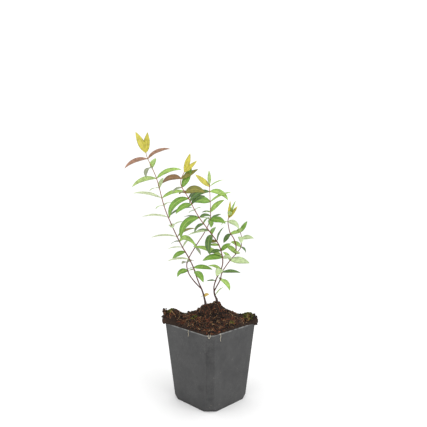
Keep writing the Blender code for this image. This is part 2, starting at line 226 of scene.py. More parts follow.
pot_finish, tree, shader, places = start_finish("dusty_dark_plastic", 0.52, 0.4)
haze = reckon(tree, "ADD", mottle(tree, places, 34, 5), mottle(tree, places, 150, 6, 0.7))
shade = blend_colours(tree, between(tree, haze, 0.72, 1.32), linear(*PLASTIC_DARK), linear(*PLASTIC_PALE))
dust = reckon(tree, "MULTIPLY", between(tree, mottle(tree, places, 700, 8, 0.75), 0.5, 0.75),
              between(tree, mottle(tree, places, 45, 3), 0.42, 0.7))
shade = blend_colours(tree, dust, shade, linear(*DUST))
for spot, reach in WATER_STAINS:
    away = tree.nodes.new("ShaderNodeVectorMath")
    away.operation = "DISTANCE"
    away.inputs[1].default_value = spot
    tree.links.new(places.outputs["Object"], away.inputs[0])
    ragged = reckon(tree, "ADD", away.outputs["Value"],
                    reckon(tree, "MULTIPLY", mottle(tree, places, 160, 4), STAIN_RAGGED))
    stain = between(tree, ragged, reach + STAIN_EDGE[0], reach + STAIN_EDGE[1], STAIN_STRENGTH, 0.0)
    shade = blend_colours(tree, stain, shade, linear(*DRIED_WATER))
crusts = tree.nodes.new("ShaderNodeTexVoronoi")
crusts.inputs["Scale"].default_value = CRUSTS_TO_A_METRE
tree.links.new(places.outputs["Object"], crusts.inputs["Vector"])
specks = reckon(tree, "MULTIPLY", between(tree, crusts.outputs["Distance"], 0.10, 0.04),
                between(tree, mottle(tree, places, 70, 2), 0.58, 0.64))
shade = blend_colours(tree, specks, shade, linear(*CRUST))
# Painted highlight: the top edge of the rim is painted pale in patches, where it catches the light
painted_rim_highlight = between(tree, split(tree, places.outputs["Object"])["Z"], *RIM_HIGHLIGHT_HEIGHTS, 0.0, RIM_HIGHLIGHT_STRENGTH)
painted_rim_highlight = reckon(tree, "MULTIPLY", painted_rim_highlight, between(tree, mottle(tree, places, 120, 4), 0.35, 0.6))
shade = blend_colours(tree, painted_rim_highlight, shade, linear(*RIM_HIGHLIGHT))
tree.links.new(shade, shader.inputs["Base Color"])
tree.links.new(between(tree, haze, 0.7, 1.3, 0.42, 0.66), shader.inputs["Roughness"])
relief(tree, shader, mottle(tree, places, 900, 5, 0.6), 0.00008, 0.7)
for pot_slot in bpy.data.objects["pot"].material_slots:
    pot_slot.material = pot_finish

# The peat. A root ball of moist dark peat that fills the pot and is heaped in the middle, with a clump
# on the left corner and a lower one on the right, pressed down round each stem. It is one closed skin,
# laid in rings from the pot's floor up through the rim and in over the crumbly top.
GAP = 0.3 * MM
SOIL_EDGE_HEIGHT = 2.0 * MM
SOIL_LUMP = 1.6 * MM
SOIL_OVERHANG = 4.5 * MM
OVERHANG_FROM, OVERHANG_FADE = 0.94, 0.06  # only round the left and right corners
# Room left between the peat and the pot, beside the gap
FLOOR_SPARE = 1.5 * MM
FACET_SPARE = 0.5 * MM
RIM_SPARE = 0.1 * MM
# Each heap: how far right, how deep, how high and how wide it spreads
MOUND = (3 * MM, 3 * MM, 21 * MM, 19 * MM)
LEFT_CLUMP = (-50 * MM, 0 * MM, 15 * MM, 10 * MM)
RIGHT_CLUMP = (52 * MM, 2 * MM, 8 * MM, 8 * MM)
PAD_RADIUS = 4 * MM
STEM_FEET = ((-6 * MM, -6 * MM, 124 * MM), (8.6 * MM, -3 * MM, 127.5 * MM))
LUMPS_ACROSS = 7 * MM
CRUMBLE = ((0.9, 4.2), (0.6, 1.7), (0.35, 0.8))  # height and width of the lumps, coarse to fine
# The rings of the lip: their size against the rim and how far up the edge of the peat each lies
LIP_RINGS = ((1.0, 0.0), (1.008, 0.2), (1.008, 0.45), (0.995, 0.7), (0.975, 0.88), (0.955, 0.97))
LIP_INSET = 0.4 * MM
LIP_WAVE = 0.5 * MM
LIP_WAVE_LENGTH = 3 * MM
LIP_RADIUS = 0.05
LIP_GRAIN = 0.6
TOP_RINGS = 64
TOP_OUTER = 0.94
TOP_INNER = 0.004
TOP_CLOSER_OUTSIDE = 0.96
PEAT_DARK = (17, 12, 10)
PEAT_PALE = (58, 43, 34)
PEAT_RUST = (84, 58, 42)


def chamfered_square(half, chamfer, inset=0.0, along=44, across=8):
    """Points round the pot's plan, a corner to the front."""
    cut = chamfer / math.sqrt(2) - (2 - math.sqrt(2)) * inset
    half = half - inset
    corners = []
    for quarter in range(4):
        turn = math.radians(90 * quarter + 45)
        for x, y in ((half, half - cut), (half - cut, half)):
            corners.append((x * math.cos(turn) - y * math.sin(turn),
                            x * math.sin(turn) + y * math.cos(turn)))
    points = []
    for k, corner in enumerate(corners):
        following = corners[(k + 1) % 8]
        parts = across if k % 2 == 0 else along
        for step in range(parts):
            t = step / parts
            points.append((corner[0] + (following[0] - corner[0]) * t,
                           corner[1] + (following[1] - corner[1]) * t))
    return points


def lump_height(x, y, lump):
    """Height that one heap adds at a place."""
    across, deep, height, spread = lump
    return height * math.exp(-((x - across) ** 2 + (y - deep) ** 2) / (2 * spread**2))


def peat_height(x, y):
    """Height of the peat's top without its crumbs."""
    height = POT_HEIGHT + SOIL_EDGE_HEIGHT
    height += lump_height(x, y, MOUND) + lump_height(x, y, LEFT_CLUMP) + lump_height(x, y, RIGHT_CLUMP)
    height += SOIL_LUMP * noise.noise(Vector((x, y, 0)) / LUMPS_ACROSS)
    for foot in STEM_FEET:
        far = math.hypot(x - foot[0], y - foot[1])
        share = min(max((far - PAD_RADIUS) / PAD_RADIUS, 0), 1)
        height = height * share + (foot[2] - GAP) * (1 - share)
    return height


def crumble(x, y, z):
    """Small lumps and pits of the peat, up or down."""
    here = Vector((x, y, z))
    return sum(height * noise.noise(here / (width * MM)) for height, width in CRUMBLE) * MM


def link_piece(name, bm, finishes, nodes):
    """Turns a mesh into a piece of the shrub that stands for the named solids."""
    bmesh.ops.recalc_face_normals(bm, faces=bm.faces)
    mesh = bpy.data.meshes.new(name)
    bm.to_mesh(mesh)
    bm.free()
    for finish in finishes:
        mesh.materials.append(finish)
    mesh.shade_smooth()
    piece = bpy.data.objects.new(name, mesh)
    bpy.context.scene.collection.objects.link(piece)
    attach(piece, "root")
    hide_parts(*nodes)


def skin(bm, rings, tip=None, index=0):
    """A closed skin over rings of equally many points, drawn in to a tip where there is one."""
    rows = [[bm.verts.new(point) for point in ring] for ring in rings]
    count = len(rows[0])
    faces = []
    for lower, upper in zip(rows, rows[1:]):
        for i in range(count):
            j = (i + 1) % count
            faces.append(bm.faces.new((lower[i], lower[j], upper[j], upper[i])))
    faces.append(bm.faces.new(rows[0][::-1]))
    if tip is None:
        faces.append(bm.faces.new(rows[-1]))
    else:
        point = bm.verts.new(tip)
        for i in range(count):
            faces.append(bm.faces.new((rows[-1][i], rows[-1][(i + 1) % count], point)))
    for face in faces:
        face.material_index = index


floor_half = POT_HALF_FOOT + (POT_HALF_TOP - POT_HALF_FOOT) * (POT_WALL + GAP) / POT_HEIGHT
facet_half = POT_HALF_FOOT + (POT_HALF_TOP - POT_HALF_FOOT) * FACET_HEIGHT / POT_HEIGHT
facet_cut = CHAMFER_FOOT + (CHAMFER_TOP - CHAMFER_FOOT) * FACET_HEIGHT / POT_HEIGHT
inset = POT_WALL + GAP
floor_cut = CHAMFER_FOOT + 2 * FACET_INWARD + FLOOR_SPARE
rings = [[(x, y, height) for x, y in plan] for height, plan in (
    (inset, chamfered_square(floor_half, floor_cut, inset)),
    (FACET_HEIGHT + FLOOR_SPARE, chamfered_square(facet_half, facet_cut + FACET_SPARE, inset)),
    (POT_HEIGHT + GAP, chamfered_square(POT_HALF_TOP, CHAMFER_TOP, inset + RIM_SPARE)),
)]
lip = []
for x, y in chamfered_square(POT_HALF_TOP, CHAMFER_TOP, LIP_INSET):
    reach = math.hypot(x, y)
    out = SOIL_OVERHANG * max(0, (abs(x) / reach - OVERHANG_FROM) / OVERHANG_FADE)
    out += LIP_WAVE * noise.noise(Vector((x, y, 0)) / LIP_WAVE_LENGTH)
    lip.append((x * (1 + out / reach), y * (1 + out / reach)))
for scale, low in LIP_RINGS:
    ring = []
    for x, y in lip:
        top = peat_height(x * scale, y * scale)
        grain = crumble(x, y, top * 0.4 + low * 3 * MM) * min(1, low * 1.5)
        z = POT_HEIGHT + GAP + (top - POT_HEIGHT - GAP) * low + grain * LIP_GRAIN
        ring.append((x * scale + grain * x / LIP_RADIUS * LIP_GRAIN,
                     y * scale + grain * y / LIP_RADIUS * LIP_GRAIN, max(z, POT_HEIGHT + GAP)))
    rings.append(ring)
for step in range(TOP_RINGS):
    scale = TOP_OUTER * (1 - step / TOP_RINGS) ** TOP_CLOSER_OUTSIDE + TOP_INNER
    ring = []
    for x, y in lip:
        top = peat_height(x * scale, y * scale)
        ring.append((x * scale, y * scale, top + crumble(x * scale, y * scale, 0)))
    rings.append(ring)
peat_mesh = bmesh.new()
skin(peat_mesh, rings, tip=(0, 0, peat_height(0, 0)))

peat_finish, tree, shader, places = start_finish("moist_fibrous_peat", 0.92, 0.2)
grain = reckon(tree, "ADD", mottle(tree, places, 420, 6, 0.7), mottle(tree, places, 1500, 4, 0.7))
shade = blend_colours(tree, between(tree, grain, 0.75, 1.25), linear(*PEAT_DARK), linear(*PEAT_PALE))
rust = between(tree, mottle(tree, places, 90, 4), 0.55, 0.72, 0.0, 0.4)
tree.links.new(blend_colours(tree, rust, shade, linear(*PEAT_RUST)), shader.inputs["Base Color"])
relief(tree, shader, grain, 0.0006)
link_piece("peat_heap", peat_mesh, [peat_finish], ["soil"])

# The crumbs. Loose bits of peat in three browns, from dust to small lumps, that lie all over the heap and
# are packed thickest on the two corners, where they hang a little over the rim.
CRUMB_COLOURS = (
    ("peat_crumb_dark", (14, 10, 9), (46, 34, 28)),
    ("peat_crumb_brown", (36, 25, 19), (80, 60, 46)),
    ("peat_crumb_orange", (66, 42, 28), (112, 80, 54)),
)
CRUMB_SIZES = ((760, 0.35, 0.8), (260, 0.8, 1.5), (60, 1.5, 2.3))  # how many, smallest and largest
CRUMB_PICK = (0, 0, 0, 1, 1, 2)
CRUMB_ROUGH = 0.75
CRUMB_RAISED = 0.3
BROUGHT_FORWARD = 0.35
CLEAR_OF_STEM = 2.6 * MM
CORNER_HEAPS = ((-1, 98, 117, 3.2), (1, 97, 108, 2.2))  # side, lowest, highest, how far they spread
CORNER_CRUMBS = 70
CORNER_CRUMB_SIZES = (0.7, 1.9)
CORNER_CRUMB_PICK = (0, 0, 1, 2)
CORNER_REACH = 57.5
CORNER_CLEAR = 1.5
CORNER_DEEP = 7
CORNER_ROUND = 0.3


def mottled_finish(name, dark, pale, roughness, gloss, clouds, pits, depth):
    """A finish that shifts cloudily between two colours, with fine pits."""
    finish, tree, shader, places = start_finish(name, roughness, gloss)
    share = between(tree, mottle(tree, places, *clouds), 0.4, 0.65)
    tree.links.new(blend_colours(tree, share, linear(*dark), linear(*pale)), shader.inputs["Base Color"])
    relief(tree, shader, mottle(tree, places, *pits), depth)
    return finish


crumb_finishes = [mottled_finish(*colours, 0.9, 0.2, (900, 5, 0.7), (2400, 3), 0.0003)
                  for colours in CRUMB_COLOURS]

scatter = random.Random(11)
ball = bmesh.new()
bmesh.ops.create_icosphere(ball, subdivisions=2, radius=1)
ball_points = [point.co.copy() for point in ball.verts]
ball_faces = [[point.index for point in face.verts] for face in ball.faces]
ball.free()


def add_lump(bm, place, size, index):
    """A crumb: a rough ball, pushed in and out and squashed."""
    seed = Vector((scatter.uniform(-50, 50), scatter.uniform(-50, 50), scatter.uniform(-50, 50)))
    squash = (scatter.uniform(0.7, 1.3), scatter.uniform(0.7, 1.3), scatter.uniform(0.5, 0.9))
    points = []
    for point in ball_points:
        swell = 1 + CRUMB_ROUGH * noise.noise(point * 1.3 + seed)
        points.append(bm.verts.new((place[0] + point.x * size * squash[0] * swell,
                                    place[1] + point.y * size * squash[1] * swell,
                                    place[2] + point.z * size * squash[2] * swell)))
    for face in ball_faces:
        bm.faces.new([points[i] for i in face]).material_index = index


def spot_on_peat(edge=0.97):
    """A place on the peat's top, more often on the front half, where it shows."""
    x, y = scatter.choice(lip)
    share = edge * math.sqrt(scatter.random())
    if y > 0 and scatter.random() < BROUGHT_FORWARD:
        y = -y
    return x * share, y * share


def from_stems(x, y):
    """How far a place is from the nearer stem."""
    return min(math.hypot(x - foot[0], y - foot[1]) for foot in STEM_FEET)


crumbs = bmesh.new()
for count, low, high in CRUMB_SIZES:
    for _ in range(count):
        x, y = spot_on_peat()
        size = scatter.uniform(low, high) * MM
        if from_stems(x, y) < CLEAR_OF_STEM + size:
            continue
        add_lump(crumbs, (x, y, peat_height(x, y) + CRUMB_RAISED * size), size, scatter.choice(CRUMB_PICK))
for corner, low, high, spread in CORNER_HEAPS:
    for _ in range(CORNER_CRUMBS):
        x = corner * (CORNER_REACH + scatter.uniform(0, spread) + CORNER_CLEAR) * MM
        y = scatter.uniform(-CORNER_DEEP, CORNER_DEEP) * MM
        z = scatter.uniform(low, high) * MM
        size = scatter.uniform(*CORNER_CRUMB_SIZES) * MM
        add_lump(crumbs, (x - corner * CORNER_ROUND * abs(y), y, z), size, scatter.choice(CORNER_CRUMB_PICK))
link_piece("peat_crumbs", crumbs, crumb_finishes, ["soil"])

# The fibres and rootlets. Hair-thin straw and rust-coloured strands of the peat lie in curves on its top,
# and four pale rootlets hang over the front rim, two of them crossed. Each is a tapering tube.
FIBRE_COLOURS = (
    ("fibre_straw", (150, 112, 74), (205, 172, 128)),
    ("fibre_rust", (104, 54, 32), (160, 92, 56)),
    ("rootlet_pale", (205, 190, 160), (232, 222, 200)),
)
FIBRES = 520
FIBRE_BENDS = 7
FIBRE_LENGTHS = (3, 4, 5, 6, 8, 11)
FIBRE_LIFTS = (0.2, 0.3, 0.5, 1.4)
FIBRE_CURVE = 0.45
FIBRE_RADII = (0.09, 0.2)
FIBRE_TIP = 0.4
FIBRE_PICK = (0, 1, 1)
FIBRE_RAISED = 0.15 * MM
FIBRE_CLEAR_OF_STEM = 3 * MM
FIBRE_RIM = 66 * MM
ROOTLET = 2  # its place among the colours
ROOTLET_RADIUS = 0.16 * MM
ROOTLET_TIP = 0.05 * MM
ROOTLET_STEPS = 5
ROOTLETS = (
    ((12.5, -54.8, 101.5), (12.9, -56.0, 99), (12.2, -56.0, 95), (12.8, -55.2, 91)),
    ((-26.5, -40.5, 101.5), (-27.0, -41.8, 99), (-26.4, -41.7, 96), (-27.2, -41.2, 93)),
    ((-2.0, -58.5, 101.5), (-2.4, -60.0, 99.5), (-1.4, -60.2, 97.5), (-0.4, -59.6, 96.5)),
    ((0.6, -58.5, 101.5), (0.4, -60.0, 99.0), (-0.8, -60.3, 97.8), (-2.4, -60.0, 97.4)),
)

fibre_finishes = [mottled_finish(*colours, 0.7, 0.3, (700, 4), (3000, 2), 0.0001)
                  for colours in FIBRE_COLOURS]


def tube_rings(points, radii, sides):
    """Rings round a line of points, without a twist."""
    points = [np.array(point, float) for point in points]
    rings = []
    side = None
    for k, point in enumerate(points):
        ahead = points[min(k + 1, len(points) - 1)] - points[max(k - 1, 0)]
        ahead = ahead / np.linalg.norm(ahead)
        if side is None:
            side = np.cross(ahead, (0, 1, 0) if abs(ahead[1]) < 0.9 else (1, 0, 0))
        side = side - ahead * np.dot(side, ahead)
        side = side / np.linalg.norm(side)
        up = np.cross(ahead, side)
        radius = radii[k]
        ring = []
        for i in range(sides):
            turn = 2 * math.pi * i / sides
            wide = radius(turn) if callable(radius) else radius
            ring.append(tuple(point + (side * math.cos(turn) + up * math.sin(turn)) * wide))
        rings.append(ring)
    return rings


fibres = bmesh.new()
for _ in range(FIBRES):
    x, y = spot_on_peat(0.99)
    if from_stems(x, y) < FIBRE_CLEAR_OF_STEM:
        continue
    heading = scatter.uniform(0, 2 * math.pi)
    bend = scatter.uniform(-FIBRE_CURVE, FIBRE_CURVE)
    length = scatter.choice(FIBRE_LENGTHS) * MM
    lift = scatter.choice(FIBRE_LIFTS) * MM
    points = []
    for k in range(FIBRE_BENDS + 1):
        arch = lift * math.sin(math.pi * (k / FIBRE_BENDS))
        points.append((x, y, max(peat_height(x, y), POT_HEIGHT) + arch + FIBRE_RAISED))
        x += math.cos(heading) * length / FIBRE_BENDS
        y += math.sin(heading) * length / FIBRE_BENDS
        heading += bend
    if abs(x) + abs(y) > FIBRE_RIM:
        continue
    thick = scatter.uniform(*FIBRE_RADII) * MM
    radii = [thick] * FIBRE_BENDS + [thick * FIBRE_TIP]
    skin(fibres, tube_rings(points, radii, 4), index=scatter.choice(FIBRE_PICK))
for root in ROOTLETS:
    points = []
    for here, following in zip(root, root[1:]):
        for step in range(ROOTLET_STEPS):
            t = step / ROOTLET_STEPS
            points.append(tuple((a + (b - a) * t) * MM for a, b in zip(here, following)))
    radii = [ROOTLET_RADIUS] * (len(points) - 1) + [ROOTLET_TIP]
    skin(fibres, tube_rings(points, radii, 5), index=ROOTLET)
link_piece("peat_fibres", fibres, fibre_finishes, ["soil"])

# The moss. Low cushions of green and olive moss on the corner clumps and in a few places between, each
# made of many short pointed shoots that lean every way.
MOSS_COLOURS = ("cushion_moss", (62, 74, 24), (138, 142, 62))
MOSS_CUSHIONS = (  # across, deep, reach and number of shoots
    (-21, -12, 4.5, 110), (50, -4, 7, 260), (47, 6, 6, 140), (-52, -3, 5, 120), (27, -24, 4, 60),
    (-38, 12, 6, 90), (6, 36, 7, 110),
)
MOSS_WIDE = 0.22
MOSS_THICK = 0.12
MOSS_LENGTHS = (0.9, 2.0)
MOSS_UPRIGHT = 1.6
MOSS_BELLY = 1.3
MOSS_SUNK = 0.2 * MM

moss_finish = mottled_finish(*MOSS_COLOURS, 0.75, 0.2, (500, 4), (2600, 2), 0.0002)
moss = bmesh.new()
for x0, y0, reach, count in MOSS_CUSHIONS:
    for _ in range(count):
        turn = scatter.uniform(0, 2 * math.pi)
        far = reach * math.sqrt(scatter.random())
        x = (x0 + far * math.cos(turn)) * MM
        y = (y0 + far * math.sin(turn)) * MM
        base = Vector((x, y, peat_height(x, y) - MOSS_SUNK))
        lean = Vector((scatter.uniform(-1, 1), scatter.uniform(-1, 1), MOSS_UPRIGHT)).normalized()
        lean = lean * scatter.uniform(*MOSS_LENGTHS) * MM
        wide = Vector((scatter.uniform(-1, 1), scatter.uniform(-1, 1), 0)).normalized() * MOSS_WIDE * MM
        deep = wide.cross(lean).normalized() * MOSS_THICK * MM
        ring = [base + wide, base + deep, base - wide, base - deep]
        belly = [base + lean * 0.5 + (point - base) * MOSS_BELLY for point in ring]
        skin(moss, [ring, belly], tip=base + lean)
link_piece("moss", moss, [moss_finish], ["soil"])

# The stems and boughs. Two wiry reddish-brown stems that flare at the peat, each forking a finger's
# breadth above it into two boughs that taper up into the leafy shoots. Young bark, finely ridged.
STEM_RADIUS = 1.15 * MM
STEM_TAPER = 0.12
FLARE = 0.9 * MM
FLARE_LENGTH = 4 * MM
BOUGH_RADIUS = 0.85 * MM
TIP_RADIUS = 0.45 * MM
RIDGE, FINE_RIDGE = 0.10, 0.05
RIDGE_LENGTH = 5 * MM
RIDGES_ROUND = 1.6
RIDGES_FINER = 3.1
NODE_SWELL = 0.28
NODE_LENGTH = 0.9 * MM
BARK_FOOT = (52, 33, 27)
BARK_STREAK = (60, 34, 26)
BARK_CHANGES = (  # between which heights (metres) the bark changes to the next colour
    (0.130, 0.170, (104, 54, 42)),
    (0.19, 0.27, (146, 84, 56)),
    (0.27, 0.325, (158, 132, 70)),
)
# Points along each stem and bough: how far right, how deep and how high
STEM_LEFT = ((-6, -6, 124), (-6.5, -6, 128), (-9, -4, 138), (-11, -4, 144))
STEM_RIGHT = ((8.6, -3, 127.5), (8.2, -3, 131), (6, -3, 136), (5, -3, 141))
LEFT = ((-11, -4, 144), (-16, -2, 155), (-22, 0, 172), (-29, 2, 186), (-38, 0, 202), (-49, -3, 226),
        (-59, -6, 252), (-68, -9, 287), (-79, -12, 313), (-81, -13, 320))
REAR = ((-11, -4, 144), (-21, 3, 153), (-29, 12, 163), (-31, 20, 176), (-20, 28, 196), (-6, 33, 218),
        (0, 35, 234), (0, 36, 252), (-1, 36, 281))
MIDDLE = ((5, -3, 141), (5, -4, 148), (8, -6, 158), (14, -10, 171), (16, -15, 184), (11, -22, 204),
          (-1, -27, 222), (-14, -31, 240), (-27, -34, 264), (-35, -36, 278), (-35, -36, 287), (-31, -37, 295))
RIGHT = ((5, -3, 141), (8, -4, 147), (13, -6, 157), (16, -2, 167), (26, 6, 180), (34, 11, 188), (41, 15, 197),
         (42, 17, 209), (40, 18, 217))
INNER = ((34, 11, 188), (34, 8, 199), (31, 6, 209), (26, 3, 217), (24, 0, 225), (23, -2, 233), (25, -4, 241))

bark_finish, tree, shader, places = start_finish("reddish_young_bark", 0.55, 0.35)
height_up = split(tree, places.outputs["Object"])["Z"]
shade = linear(*BARK_FOOT)
for low, high, colour in BARK_CHANGES:
    shade = blend_colours(tree, between(tree, height_up, low, high), shade, linear(*colour))
streaks = tree.nodes.new("ShaderNodeMapping")
streaks.inputs["Scale"].default_value = (1500, 1500, 220)
tree.links.new(places.outputs["Object"], streaks.inputs["Vector"])
grain = tree.nodes.new("ShaderNodeTexNoise")
grain.inputs["Scale"].default_value = 1
grain.inputs["Detail"].default_value = 4
tree.links.new(streaks.outputs["Vector"], grain.inputs["Vector"])
streaked = between(tree, grain.outputs["Fac"], 0.45, 0.7, 0.0, 0.5)
tree.links.new(blend_colours(tree, streaked, shade, linear(*BARK_STREAK)), shader.inputs["Base Color"])
relief(tree, shader, grain.outputs["Fac"], 0.0002)


def smooth_line(points_mm, steps=8):
    """A smooth line through the points, in metres."""
    points = [np.array(p, float) * MM for p in points_mm]
    points = [2 * points[0] - points[1]] + points + [2 * points[-1] - points[-2]]
    line = []
    for a, b, c, d in zip(points, points[1:], points[2:], points[3:]):
        for k in range(steps):
            t = k / steps
            line.append(0.5 * (2 * b + (c - a) * t + (2 * a - 5 * b + 4 * c - d) * t**2
                               + (3 * b - a - 3 * c + d) * t**3))
    line.append(points[-2])
    return np.array(line)


def distances(line):
    """How far along the line each of its points is."""
    return np.concatenate([[0], np.cumsum(np.linalg.norm(np.diff(line, axis=0), axis=1))])


def point_at(line, distance):
    """The point and direction at a distance along a line."""
    marks = distances(line)
    distance = min(max(distance, 0), marks[-1])
    i = min(int(np.searchsorted(marks, distance, side="right")) - 1, len(line) - 2)
    t = (distance - marks[i]) / (marks[i + 1] - marks[i])
    direction = (line[i + 1] - line[i]) / (marks[i + 1] - marks[i])
    return line[i] * (1 - t) + line[i + 1] * t, direction


def bark_limb(bm, line, start, end, radius_of, pairs=(), sides=12, spacing=0.9 * MM):
    """A limb along part of a line, finely ridged, with a small swelling where each leaf pair stands."""
    count = max(6, int((end - start) / spacing))
    points = []
    radii = []
    for k in range(count + 1):
        mark = start + (end - start) * k / count
        points.append(point_at(line, mark)[0])
        swell = sum(NODE_SWELL * math.exp(-((mark - pair) / NODE_LENGTH) ** 2) for pair in pairs)
        base = radius_of(mark) * (1 + swell)

        def ridged(turn, base=base, mark=mark):
            """Radius this far round the limb."""
            here = Vector((math.cos(turn) * RIDGES_ROUND, math.sin(turn) * RIDGES_ROUND, mark / RIDGE_LENGTH))
            return base * (1 + RIDGE * noise.noise(here) + FINE_RIDGE * noise.noise(here * RIDGES_FINER))

        radii.append(ridged)
    skin(bm, tube_rings(points, radii, sides))


def shoot_radius(line):
    """Radius at each mark of a bough and its shoot, which taper as one."""
    whole = distances(line)[-1]
    return lambda mark: BOUGH_RADIUS + (TIP_RADIUS - BOUGH_RADIUS) * mark / whole


stem_left, stem_right = smooth_line(STEM_LEFT), smooth_line(STEM_RIGHT)
left, rear, middle, right, inner = (smooth_line(points) for points in (LEFT, REAR, MIDDLE, RIGHT, INNER))
BARKS = (  # each stem with its boughs and where they end (mm)
    ("bark_left", stem_left, ((left, 22), (rear, 30)), ("stem_left", "bough_left", "bough_rear")),
    ("bark_right", stem_right, ((middle, 12), (right, 16)),
     ("stem_right", "bough_middle", "bough_right")),
)
for name, stem, boughs, nodes in BARKS:
    bark = bmesh.new()
    whole = distances(stem)[-1]
    bark_limb(bark, stem, 0, whole, lambda mark: STEM_RADIUS * (1 - STEM_TAPER * mark / whole)
              + FLARE * math.exp(-mark / FLARE_LENGTH), sides=16, spacing=0.5 * MM)
    for bough, end in boughs:
        bark_limb(bark, bough, 0, end * MM, shoot_radius(bough), sides=14, spacing=0.6 * MM)
    link_piece(name, bark, [bark_finish], nodes)

# The leaves. Thin, soft, lance-shaped blades on very short stalks, in pairs along five shoots, each pair
# turned from the last. They fold a little along the sunken midrib and arch over, some far enough to show
# the paler underside. Those at the tips are yellow, and some just below them bronze. Some green leaves are
# given painted light, paler where strong light washes them out, and some painted shade, darker in shadow.

# Each habit: the angle off the shoot and how much further it bends over (degrees)
UP = (10, 2)
SPREAD = (22, -4)
RISE = (45, 5)
OPEN = (55, -10)
STEEP = (32, 40)
FLAT = (48, 38)
ARCH = (60, 60)
CURL = (75, 85)
HANG = (55, 105)
LOW = (97, 40)
DROOP = (95, 75)

# Distance up the shoot (mm), then for each leaf its azimuth (0 right, 90 front, 180 left), habit, length
# and breadth (mm), how far the upper face is turned to the front (degrees, 0 as it grows) and its tint
LEFT_LEAVES = (
    (25, (62, DROOP, 26, 9.5, 0, "mid")),
    (30, (160, ARCH, 10, 5, 0, "grey"), (8, LOW, 26, 7, 50, "mid")),
    (42, (180, FLAT, 30, 7, -34, "pale")),
    (53, (180, ARCH, 21, 7, 55, "mid")),
    (60, (0, FLAT, 16, 5, 25, "pale"), (180, FLAT, 20, 5, -25, "pale")),
    (69, (45, HANG, 40, 8.5, 40, "light"), (215, ARCH, 16, 5, 0, "dark")),
    (76, (0, ARCH, 28, 6, 30, "olive"), (180, FLAT, 35, 6, -32, "pale")),
    (91, (80, ARCH, 16, 7, 0, "pale"), (260, ARCH, 16, 7, 0, "pale"), (0, ARCH, 17, 4, 20, "pale")),
    (104, (0, ARCH, 36, 6, 28, "dark"), (180, FLAT, 35, 6, -28, "pale")),
    (120, (130, ARCH, 16, 7, 0, "pale"), (310, ARCH, 16, 7, 0, "pale")),
    (130, (0, ARCH, 35, 7, 45, "light"), (180, FLAT, 39, 7, -36, "pale")),
    (143, (130, ARCH, 19, 7, 0, "pale"), (300, STEEP, 20, 7, 0, "pale")),
    (156, (0, ARCH, 36, 8, 48, "light"), (180, ARCH, 35, 8, -46, "light")),
    (170, (112, HANG, 27, 9, 0, "grey"), (292, FLAT, 26, 9, 0, "light")),
    (183, (5, ARCH, 34, 8, -28, "bronze"), (180, ARCH, 34, 8, -36, "bronze")),
    (191, (0, SPREAD, 26, 10, 62, "tip"), (180, UP, 29, 9.5, 66, "tip")),
)
REAR_LEAVES = (
    (33, (160, HANG, 19, 8.5, 45, "mid"), (340, ARCH, 12, 6, 0, "pale")),
    (46, (60, ARCH, 16, 7, 0, "grey"), (240, ARCH, 16, 7, 0, "grey")),
    (70, (0, LOW, 14, 6, 30, "grey"), (130, ARCH, 20, 7, 0, "dark")),
    (112, (30, ARCH, 26, 9.5, 60, "mid"), (330, STEEP, 20, 6, 30, "dark"), (80, LOW, 22, 8, 0, "mid"),
     (225, ARCH, 20, 8, 0, "mid")),
    (123, (345, STEEP, 27, 7.5, 62, "light"), (180, ARCH, 13, 4, 30, "dark"), (120, ARCH, 14, 6, 0, "light")),
    (137, (0, FLAT, 33, 6, 32, "light"), (165, ARCH, 26, 10, 70, "mid")),
    (151, (350, CURL, 31, 8.5, 62, "light"), (180, CURL, 36, 9, 50, "dark")),
    (158, (180, RISE, 26, 8, 66, "tip"), (0, FLAT, 23, 5, 20, "light")),
    (161, (90, UP, 20, 5, 0, "light"), (270, UP, 20, 5, 0, "light")),
)
MIDDLE_LEAVES = (
    (15, (190, LOW, 13, 4, 20, "dark")),
    (33, (105, ARCH, 24, 9.5, 0, "pale"), (180, ARCH, 19, 5, 30, "light")),
    (50, (178, ARCH, 27, 8, 62, "mid"), (20, ARCH, 14, 7, 40, "pale")),
    (53, (195, FLAT, 40, 7.5, 45, "light")),
    (60, (180, ARCH, 16, 5.5, 45, "dark"), (350, FLAT, 16, 7, 50, "mid")),
    (68, (180, FLAT, 13, 5, 40, "light")),
    (74, (180, FLAT, 13, 6, 40, "olive"), (10, STEEP, 24, 5, 25, "dark")),
    (85, (125, CURL, 32, 9.5, 60, "dark"), (305, ARCH, 20, 8, 0, "mid")),
    (91, (180, FLAT, 28, 5, 30, "pale"), (215, FLAT, 18, 6, 20, "dark")),
    (103, (150, ARCH, 18, 7, 30, "dark"), (330, ARCH, 14, 6, 0, "mid")),
    (112, (178, HANG, 40, 9.5, 68, "mid"), (350, CURL, 16, 6, 35, "dark"), (215, FLAT, 24, 5, 0, "dark")),
    (123, (200, ARCH, 10, 5, 0, "mid"), (20, ARCH, 10, 5, 0, "mid")),
    (131, (150, ARCH, 26, 9, 50, "mid"), (330, ARCH, 24, 8, 45, "dark")),
    (139, (180, HANG, 39, 9, 64, "mid"), (330, ARCH, 26, 8, 30, "dark")),
    (147, (15, CURL, 28, 10, 66, "olive"), (250, ARCH, 22, 8, 0, "olive")),
    (155, (350, OPEN, 30, 10, 62, "mid"), (160, ARCH, 15, 6, 30, "grey")),
    (166, (180, CURL, 26, 8, 64, "bronze"), (0, RISE, 24, 7.5, 55, "olive")),
    (175, (200, UP, 24, 7.5, 60, "tip"), (0, SPREAD, 21, 6.5, 55, "tip")),
)
